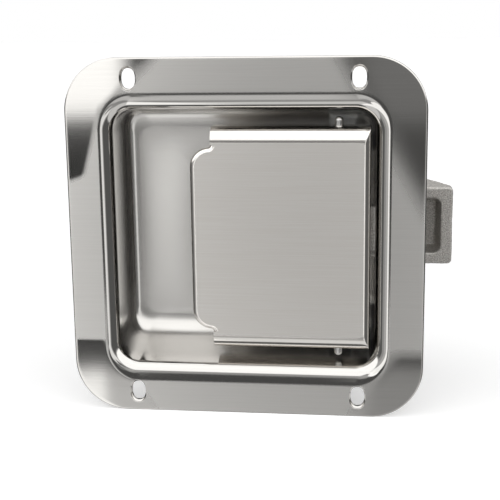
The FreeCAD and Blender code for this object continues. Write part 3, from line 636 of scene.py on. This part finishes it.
def windowCutter():
    middle, half = (window["left"] + window["right"]) / 2, (window["right"] - window["left"]) / 2
    return loft("windowCutter", [ring(half, window["halfHeight"], window["corner"], y, window["cornerSteps"],
                                      middle) for y in (window["cutFrom"], window["cutTo"])])


def makePan():
    cutters = [slotCutter(signX * slots["apartX"], signZ * slots["apartZ"])
               for signX in (-1, 1) for signZ in (-1, 1)]
    return polished(cutAway(panSheet(), cutters + [windowCutter()]), panMetal, 30)


addPiece("pressedPan", makePan(), "housing", "pan_stainless", "pan")
print("pan")


# Paddle: one sheet with two long folds and a tighter one on the right that meet in mitred corners

paddle = {
    "sheet": 1.9,
    "frontY": -1.9,
    "left": -18.8,
    "right": 43.4,
    "halfHeight": 39.3,
    "longFold": 4.9,              # radius of the two long folds, which start gently
    "foldEase": (12.0, 7.0),      # radius and angle of that start
    "easeSteps": 5,
    "sideFold": 2.3,
    "foldSteps": 24,
    "depth": 10.5,
    "foldStart": -11.4,
    "faceInset": 0.15,            # flat rim between the face and the folds
    "alongSteps": 6,              # points along a long fold, round the corner and down the side
    "cornerSteps": 12,
    "downSteps": 4,
    "tongueCorner": 6.8,
    "tongueSteps": 14,
    "neck": 1.3,
    "neckSteps": 10,
    "faceCorner": 1.9,            # plan radius of the corner where the folds meet, at the face
    "outerCorner": 0.8,           # and at the outside
    "edgeRound": 1.8,             # pressed edge of the tongue
    "edgeSteps": 7,
    "cutEdge": 0.25,
    "cutSteps": 2,
    "tailFront": 3.0,
    "tailRoot": 7.0,
    "tailTip": (38.094, 25.85),   # 22 mm from the hinge, 15 degrees to the right of straight back
    "tailHalf": 7.0,
    "tailInset": 0.02,            # of the tail's start inside the fold
    "tipSteps": 8,
}


def longBend(angle):  # how far inside the fold's outer face, and how deep, the sheet is once turned by angle
    easeRadius, easeAngle = paddle["foldEase"][0], math.radians(paddle["foldEase"][1])
    radius = paddle["longFold"]
    if angle < easeAngle:
        return (radius * (1 - math.sin(easeAngle)) + easeRadius * (math.sin(easeAngle) - math.sin(angle)),
                easeRadius * (1 - math.cos(angle)))
    return (radius * (1 - math.sin(angle)),
            easeRadius * (1 - math.cos(easeAngle)) + radius * (math.cos(easeAngle) - math.cos(angle)))


def foldRing(angle, inset=0.0, depth=None):  # from the upper fold's left end round to the lower fold's
    within, deep = longBend(angle)
    sideX = paddle["right"] - paddle["sideFold"] * (1 - math.sin(angle)) - inset
    endZ = paddle["halfHeight"] - within - inset
    startX = paddle["foldStart"] + inset
    corner = paddle["faceCorner"] + (paddle["outerCorner"] - paddle["faceCorner"]) * math.sin(angle)
    drop = 1 - math.cos(angle)
    upper = []
    for step in range(paddle["alongSteps"] + 1):
        length = sideX - corner - paddle["foldStart"] - inset
        upper.append((startX + length * step / paddle["alongSteps"], endZ, 1.0))
    for step in range(1, paddle["cornerSteps"] + 1):
        turned = math.radians(90 - 90 * step / paddle["cornerSteps"])
        share = 1 - step / paddle["cornerSteps"]
        upper.append((sideX - corner + corner * math.cos(turned), endZ - corner + corner * math.sin(turned),
                      share * share * (3 - 2 * share)))
    side = [(sideX, (endZ - corner) * (1 - step / paddle["downSteps"]), 0.0)
            for step in range(1, paddle["downSteps"])]
    points = []
    for x, z, share in upper + side + [(x, -z, share) for x, z, share in reversed(upper)]:
        down = drop * paddle["sideFold"] * (1 - share) + deep * share
        points.append(Vector((x, paddle["frontY"] + (down if depth is None else depth), z)) * mm)
    return points


def tongueLine():  # the tongue's S-shaped outline, from the lower fold's end to the upper fold's
    bendLine = paddle["halfHeight"] - longBend(0)[0]
    corner, neck = paddle["tongueCorner"], paddle["neck"]
    neckX = paddle["foldStart"] - neck
    middleX = paddle["left"] + corner
    reach = neck + corner
    lean = math.acos((neckX - middleX) / reach)
    middleZ = bendLine - reach * math.sin(lean)
    upper = []
    for step in range(paddle["tongueSteps"] + 1):
        angle = math.pi + (lean - math.pi) * step / paddle["tongueSteps"]
        upper.append((middleX + corner * math.cos(angle), middleZ + corner * math.sin(angle)))
    for step in range(1, paddle["neckSteps"] + 1):
        angle = lean + math.pi + (math.pi - lean) * step / paddle["neckSteps"]
        upper.append((neckX + neck * math.cos(angle), bendLine + neck * math.sin(angle)))
    whole = [(x, -z) for x, z in reversed(upper)] + upper
    return [Vector((x, paddle["frontY"], z)) * mm for x, z in whole]


def sheetSkin():  # the paddle's outer face with its three folds
    work = bmesh.new()
    ease, steps = paddle["foldEase"][1], paddle["foldSteps"]
    angles = [math.radians(ease * step / paddle["easeSteps"]) for step in range(paddle["easeSteps"])]
    angles += [math.radians(ease + (90 - ease) * step / steps) for step in range(steps + 1)]
    rings = [foldRing(0, inset=paddle["faceInset"])] + [foldRing(angle) for angle in angles]
    rings.append(foldRing(math.pi / 2, depth=paddle["depth"]))
    rows = [[work.verts.new(point) for point in points] for points in rings]
    for inner, outer in zip(rows, rows[1:]):
        for index in range(len(inner) - 1):
            work.faces.new((inner[index], outer[index], outer[index + 1], inner[index + 1]))
    outline = [work.verts.new(point) for point in tongueLine()[1:-1]]
    work.faces.new(rows[0] + [rows[1][-1]] + outline + [rows[1][0]])
    bmesh.ops.recalc_face_normals(work, faces=work.faces)
    return asMesh(work, "paddleSkin")


def tailMesh():  # strip that runs back from the right-hand fold to the bolt
    half = paddle["sheet"] / 2
    middleX = paddle["right"] - half
    root, tip = Vector((middleX, paddle["tailRoot"])), Vector(paddle["tailTip"])
    along = (tip - root).normalized()
    across = Vector((along.y, -along.x)) * half
    bend = half * math.tan(math.atan2(-along.x, along.y) / 2)
    outline = [Vector((middleX - half + paddle["tailInset"], paddle["tailFront"])),
               root - Vector((half, bend))]
    for step in range(paddle["tipSteps"] + 1):
        turned = math.pi * step / paddle["tipSteps"]
        outline.append(tip - across * math.cos(turned) + along * half * math.sin(turned))
    outline += [root + Vector((half, bend)),
                Vector((middleX + half - paddle["tailInset"], paddle["tailFront"]))]
    return loft("tail", [[Vector((x, y, height)) * mm for x, y in outline]
                         for height in (-paddle["tailHalf"], paddle["tailHalf"])])


def makePaddle():
    mesh = baked(sheetSkin(), "SOLIDIFY", thickness=paddle["sheet"] * mm, offset=-1.0, use_even_offset=True)
    work = bmesh.new()
    work.from_mesh(mesh)
    bendLine = (paddle["halfHeight"] - longBend(0)[0]) * mm
    tongue, cut = [], []
    for edge in sharpEdges(work):
        ends = [vertex.co for vertex in edge.verts]
        onFace = all(abs(co.y - paddle["frontY"] * mm) < samePlace for co in ends)
        onTongue = all(abs(co.z) < bendLine + samePlace and co.x < paddle["foldStart"] * mm + samePlace
                       for co in ends)
        if onFace and onTongue:
            tongue.append(edge)
        else:
            cut.append(edge)
    bmesh.ops.bevel(work, geom=cut, offset=paddle["cutEdge"] * mm, segments=paddle["cutSteps"], profile=0.5,
                    affect="EDGES", clamp_overlap=True)
    tongue = [edge for edge in tongue if edge.is_valid]
    bmesh.ops.bevel(work, geom=tongue, offset=paddle["edgeRound"] * mm, segments=paddle["edgeSteps"],
                    profile=0.5, affect="EDGES", clamp_overlap=False)
    work.from_mesh(tailMesh())
    bmesh.ops.recalc_face_normals(work, faces=work.faces)
    return polished(asMesh(work, "paddle"), paddleMetal, 40)


addPiece("foldedPaddle", makePaddle(), "paddle", "paddle_stainless", "paddle")
print("paddle")


# Bolt: the frame's solid, remeshed so that its skin can carry the casting's roughness, all in mm

bolt = {
    "voxel": 0.42,
    "grit": 1.1,                  # size of the sand's grain, and how far it stands out
    "rough": 0.10,
    "swell": 7.0,                 # size of the slow unevenness, and how far it stands out
    "waviness": 0.10,
    "sink": 0.06,                 # brings the skin back to about the solid's size
}


def makeBolt():
    work = bmesh.new()
    work.from_mesh(nodes["bolt"].data)
    bmesh.ops.remove_doubles(work, verts=work.verts, dist=samePlace)
    bmesh.ops.recalc_face_normals(work, faces=work.faces)
    skin = baked(asMesh(work, "bolt"), "REMESH", mode="VOXEL", voxel_size=bolt["voxel"] * mm)
    moved = []
    for vertex in skin.vertices:
        spot = vertex.co / mm
        lump = noise.noise(spot / bolt["swell"]) * bolt["waviness"]
        grit = noise.noise(spot / bolt["grit"]) * bolt["rough"]
        moved.append(vertex.co + vertex.normal * (lump + grit - bolt["sink"]) * mm)
    for vertex, spot in zip(skin.vertices, moved):
        vertex.co = spot
    skin.materials.clear()
    skin.materials.append(castMetal)
    skin.shade_smooth()
    return skin


addPiece("castBolt", makeBolt(), "bolt", "bolt_casting", "bolt")
print("bolt")


# Rivets and springs, grown by Geometry Nodes on one point for each, or along a path

def geometryTree(name, sizes):  # a tree with named inputs, given with the sockets that carry them
    tree = bpy.data.node_groups.new(name, "GeometryNodeTree")
    tree.interface.new_socket("Geometry", in_out="INPUT", socket_type="NodeSocketGeometry")
    for key, kind in sizes.items():
        tree.interface.new_socket(key, in_out="INPUT", socket_type="NodeSocket" + kind)
    tree.interface.new_socket("Geometry", in_out="OUTPUT", socket_type="NodeSocketGeometry")
    return tree, addNode(tree, "NodeGroupInput").outputs


def treeEnd(tree, geometry, material):
    real = addNode(tree, "GeometryNodeRealizeInstances", {"Geometry": geometry})
    coated = addNode(tree, "GeometryNodeSetMaterial", {"Geometry": real.outputs[0], "Material": material})
    addNode(tree, "NodeGroupOutput", {"Geometry": coated.outputs[0]})


def grown(name, points, tree, sizes, sharpAngle, edges=()):
    mesh = bpy.data.meshes.new(name)
    mesh.from_pydata(points, edges, [])
    holder = newObject(name, mesh)
    modifier = holder.modifiers.new(name, "NODES")
    modifier.node_group = tree
    for item in tree.interface.items_tree:
        if item.in_out == "INPUT" and item.name in sizes:
            modifier[item.identifier] = sizes[item.name]
    result = bpy.data.meshes.new_from_object(holder.evaluated_get(bpy.context.evaluated_depsgraph_get()))
    bpy.data.objects.remove(holder)
    result.shade_smooth()
    result.set_sharp_from_angle(angle=math.radians(sharpAngle))
    return result


def solidBoxes(replaced):
    return [(Vector(low), Vector(high)) for low, high in (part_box(node) for node in replaced)]


rivets = {"headRadius": 3.9, "headHeight": 1.3, "shankRadius": 2.0, "around": 40, "rings": 20, "sharp": 50}


def rivetTree():  # two domed heads, each half a ball pressed flat, with a shank between them along Y
    tree, given = geometryTree("domedRivets", {
        "Head Radius": "Float", "Head Height": "Float", "Shank Radius": "Float", "Grip": "Float",
        "Around": "Int", "Rings": "Int", "Finish": "Material"})
    ball = addNode(tree, "GeometryNodeMeshUVSphere", {"Segments": given["Around"], "Rings": given["Rings"],
                                                      "Radius": 1.0})
    place = addNode(tree, "ShaderNodeSeparateXYZ",
                    {0: addNode(tree, "GeometryNodeInputPosition").outputs[0]}).outputs
    above = addNode(tree, "ShaderNodeMath", {0: place[2], 1: 0.0}, operation="MAXIMUM")
    low = addNode(tree, "ShaderNodeMath", {0: above.outputs[0], 1: 2.0}, operation="POWER")
    spots = [addNode(tree, "ShaderNodeMath", {0: part, 1: given[size]}, operation="MULTIPLY").outputs[0]
             for part, size in ((place[0], "Head Radius"), (place[1], "Head Radius"),
                                (low.outputs[0], "Head Height"))]
    capPlace = addNode(tree, "ShaderNodeCombineXYZ", {0: spots[0], 1: spots[1], 2: spots[2]})
    cap = addNode(tree, "GeometryNodeSetPosition", {"Geometry": ball.outputs[0],
                                                    "Position": capPlace.outputs[0]})
    half = addNode(tree, "ShaderNodeMath", {0: given["Grip"], 1: 0.5}, operation="MULTIPLY")
    lift = addNode(tree, "ShaderNodeCombineXYZ", {2: half.outputs[0]})
    head = addNode(tree, "GeometryNodeTransform", {"Geometry": cap.outputs[0],
                                                   "Translation": lift.outputs[0]})
    tail = addNode(tree, "GeometryNodeTransform", {"Geometry": head.outputs[0], "Rotation": (math.pi, 0, 0)})
    shank = addNode(tree, "GeometryNodeMeshCylinder", {
        "Vertices": given["Around"], "Radius": given["Shank Radius"], "Depth": given["Grip"]})
    joined = addNode(tree, "GeometryNodeJoinGeometry", {0: head.outputs[0]})
    for part in (tail, shank):
        tree.links.new(part.outputs[0], joined.inputs[0])
    placed = addNode(tree, "GeometryNodeInstanceOnPoints", {
        "Points": given["Geometry"], "Instance": joined.outputs[0], "Rotation": (-math.pi / 2, 0, 0)})
    treeEnd(tree, placed.outputs[0], given["Finish"])
    return tree


def addRivets(name, tree, *replaced):
    boxes = solidBoxes(replaced)
    sizes = {
        "Head Radius": rivets["headRadius"] * mm,
        "Head Height": rivets["headHeight"] * mm,
        "Shank Radius": rivets["shankRadius"] * mm,
        "Grip": boxes[0][1].y - boxes[0][0].y - 2 * rivets["headHeight"] * mm,
        "Around": rivets["around"],
        "Rings": rivets["rings"],
        "Finish": rivetMetal,
    }
    mesh = grown(name, [(low + high) / 2 for low, high in boxes], tree, sizes, rivets["sharp"])
    addPiece(name, mesh, "housing", "rivet_steel", *replaced)


domes = rivetTree()
addRivets("bracketRivets", domes, "bracket_rivet_1", "bracket_rivet_2", "bracket_rivet_3", "bracket_rivet_4")
addRivets("plateRivets", domes, "plate_rivet_upper", "plate_rivet_lower")
print("rivets")


springs = {"wire": 1.1, "turns": 9.0, "perTurn": 30, "around": 14, "travel": 11.4, "sharp": 60}


def springTree():  # wire wound along Z and laid along X, its first and last turn closed
    tree, given = geometryTree("closedEndSprings", {
        "Coil Radius": "Float", "Wire Radius": "Float", "Length": "Float", "Turns": "Float",
        "Per Turn": "Int", "Around": "Int", "Finish": "Material"})
    helix = addNode(tree, "GeometryNodeCurveSpiral", {
        "Resolution": given["Per Turn"], "Rotations": given["Turns"], "Start Radius": given["Coil Radius"],
        "End Radius": given["Coil Radius"], "Height": 0.0})
    along = addNode(tree, "GeometryNodeSplineParameter").outputs["Factor"]
    turned = addNode(tree, "ShaderNodeMath", {0: along, 1: given["Turns"]}, operation="MULTIPLY").outputs[0]
    lastTurn = addNode(tree, "ShaderNodeMath", {0: given["Turns"], 1: 1.0}, operation="SUBTRACT").outputs[0]
    closed = addNode(tree, "ShaderNodeMath", {0: given["Wire Radius"], 1: 2.0},
                     operation="MULTIPLY").outputs[0]
    taken = addNode(tree, "ShaderNodeMath", {0: closed, 1: 3.0}, operation="MULTIPLY").outputs[0]
    free = addNode(tree, "ShaderNodeMath", {0: given["Length"], 1: taken}, operation="SUBTRACT").outputs[0]
    height = None
    for first, last, rise in ((0.0, 1.0, closed), (1.0, lastTurn, free), (lastTurn, given["Turns"], closed)):
        step = addNode(tree, "ShaderNodeMapRange", {0: turned, 1: first, 2: last, 3: 0.0, 4: rise}).outputs[0]
        height = step if height is None else addNode(tree, "ShaderNodeMath", {0: height, 1: step}).outputs[0]
    rise = addNode(tree, "ShaderNodeCombineXYZ", {2: height})
    raised = addNode(tree, "GeometryNodeSetPosition", {"Geometry": helix.outputs[0],
                                                       "Offset": rise.outputs[0]})
    wire = addNode(tree, "GeometryNodeCurvePrimitiveCircle", {"Resolution": given["Around"],
                                                              "Radius": given["Wire Radius"]})
    wound = addNode(tree, "GeometryNodeCurveToMesh", {
        "Curve": raised.outputs[0], "Profile Curve": wire.outputs[0], "Fill Caps": True})
    placed = addNode(tree, "GeometryNodeInstanceOnPoints", {
        "Points": given["Geometry"], "Instance": wound.outputs[0], "Rotation": (0, math.pi / 2, 0)})
    treeEnd(tree, placed.outputs[0], given["Finish"])
    return tree


def makeSprings(*replaced):  # the mesh, where its fixed end lies, and how short it gets
    boxes = solidBoxes(replaced)
    low, high = boxes[0]
    wire = springs["wire"] * mm / 2
    points = [(start.x + wire, (start.y + end.y) / 2, (start.z + end.z) / 2) for start, end in boxes]
    sizes = {
        "Coil Radius": (high.y - low.y) / 2 - wire,
        "Wire Radius": wire,
        "Length": high.x - low.x,
        "Turns": springs["turns"],
        "Per Turn": springs["perTurn"],
        "Around": springs["around"],
        "Finish": springMetal,
    }
    mesh = grown("boltSprings", points, springTree(), sizes, springs["sharp"])
    return mesh, low.x, 1 - springs["travel"] * mm / (high.x - low.x)


coils, seat, shut = makeSprings("bolt_spring_upper", "bolt_spring_lower")
squeezed = addPiece("boltSprings", coils, "housing", "spring_steel", "bolt_spring_upper", "bolt_spring_lower")
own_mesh(squeezed)
print("bolt springs")


torsion = {
    "wire": 1.2,
    "radius": 3.0,
    "pitch": 1.35,
    "turns": 4,
    "middle": 21.0,               # of each coil, above or below the part's middle
    "hinge": (32.4, 4.6),
    "paddleEnd": (39.9, 0.65),    # where one leg presses on the paddle and the other on the floor
    "floorEnd": (36.9, 19.45),
    "paddleRise": 0.3,            # how far each leg's end lies past the coil's end
    "floorDrop": 0.7,
    "perTurn": 28,
    "around": 12,
    "sharp": 60,
}


def wireTree():
    tree, given = geometryTree("wireAlongPath", {"Wire Radius": "Float", "Around": "Int",
                                                 "Finish": "Material"})
    path = addNode(tree, "GeometryNodeMeshToCurve", {"Mesh": given["Geometry"]})
    section = addNode(tree, "GeometryNodeCurvePrimitiveCircle", {"Resolution": given["Around"],
                                                                 "Radius": given["Wire Radius"]})
    swept = addNode(tree, "GeometryNodeCurveToMesh", {
        "Curve": path.outputs[0], "Profile Curve": section.outputs[0], "Fill Caps": True})
    treeEnd(tree, swept.outputs[0], given["Finish"])
    return tree


def touchAngle(end, side):  # where on the coil a straight leg to that end leaves it
    away = Vector(end) - Vector(torsion["hinge"])
    return math.atan2(away.y, away.x) + side * math.acos(torsion["radius"] / away.length)


def torsionPath(middle):  # floor leg, coil and paddle leg, with the coil's lowest and highest place
    first, last = touchAngle(torsion["floorEnd"], 1), touchAngle(torsion["paddleEnd"], -1)
    turns = torsion["turns"] + ((last - first) / (2 * math.pi)) % 1
    low = middle - turns * torsion["pitch"] / 2
    high = low + turns * torsion["pitch"]
    count = round(turns * torsion["perTurn"])
    coil = []
    for step in range(count + 1):
        angle = first + 2 * math.pi * turns * step / count
        coil.append((torsion["hinge"][0] + torsion["radius"] * math.cos(angle),
                     torsion["hinge"][1] + torsion["radius"] * math.sin(angle),
                     low + (high - low) * step / count))
    floorLeg = (*torsion["floorEnd"], low - torsion["floorDrop"])
    paddleLeg = (*torsion["paddleEnd"], high + torsion["paddleRise"])
    return [Vector(point) * mm for point in [floorLeg] + coil + [paddleLeg]], low * mm, high * mm


bentWire = wireTree()
across = [value * mm for value in torsion["hinge"]]
for side, place in (("upper", torsion["middle"]), ("lower", -torsion["middle"])):
    points, low, high = torsionPath(place)
    sizes = {"Wire Radius": torsion["wire"] * mm / 2, "Around": torsion["around"], "Finish": springMetal}
    mesh = grown("paddleSpring", points, bentWire, sizes, torsion["sharp"],
                 [(index, index + 1) for index in range(len(points) - 1)])
    spring = addPiece("paddleSpring_" + side, mesh, "", "spring_steel", "paddle_spring_" + side)
    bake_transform(spring)
print("paddle springs")
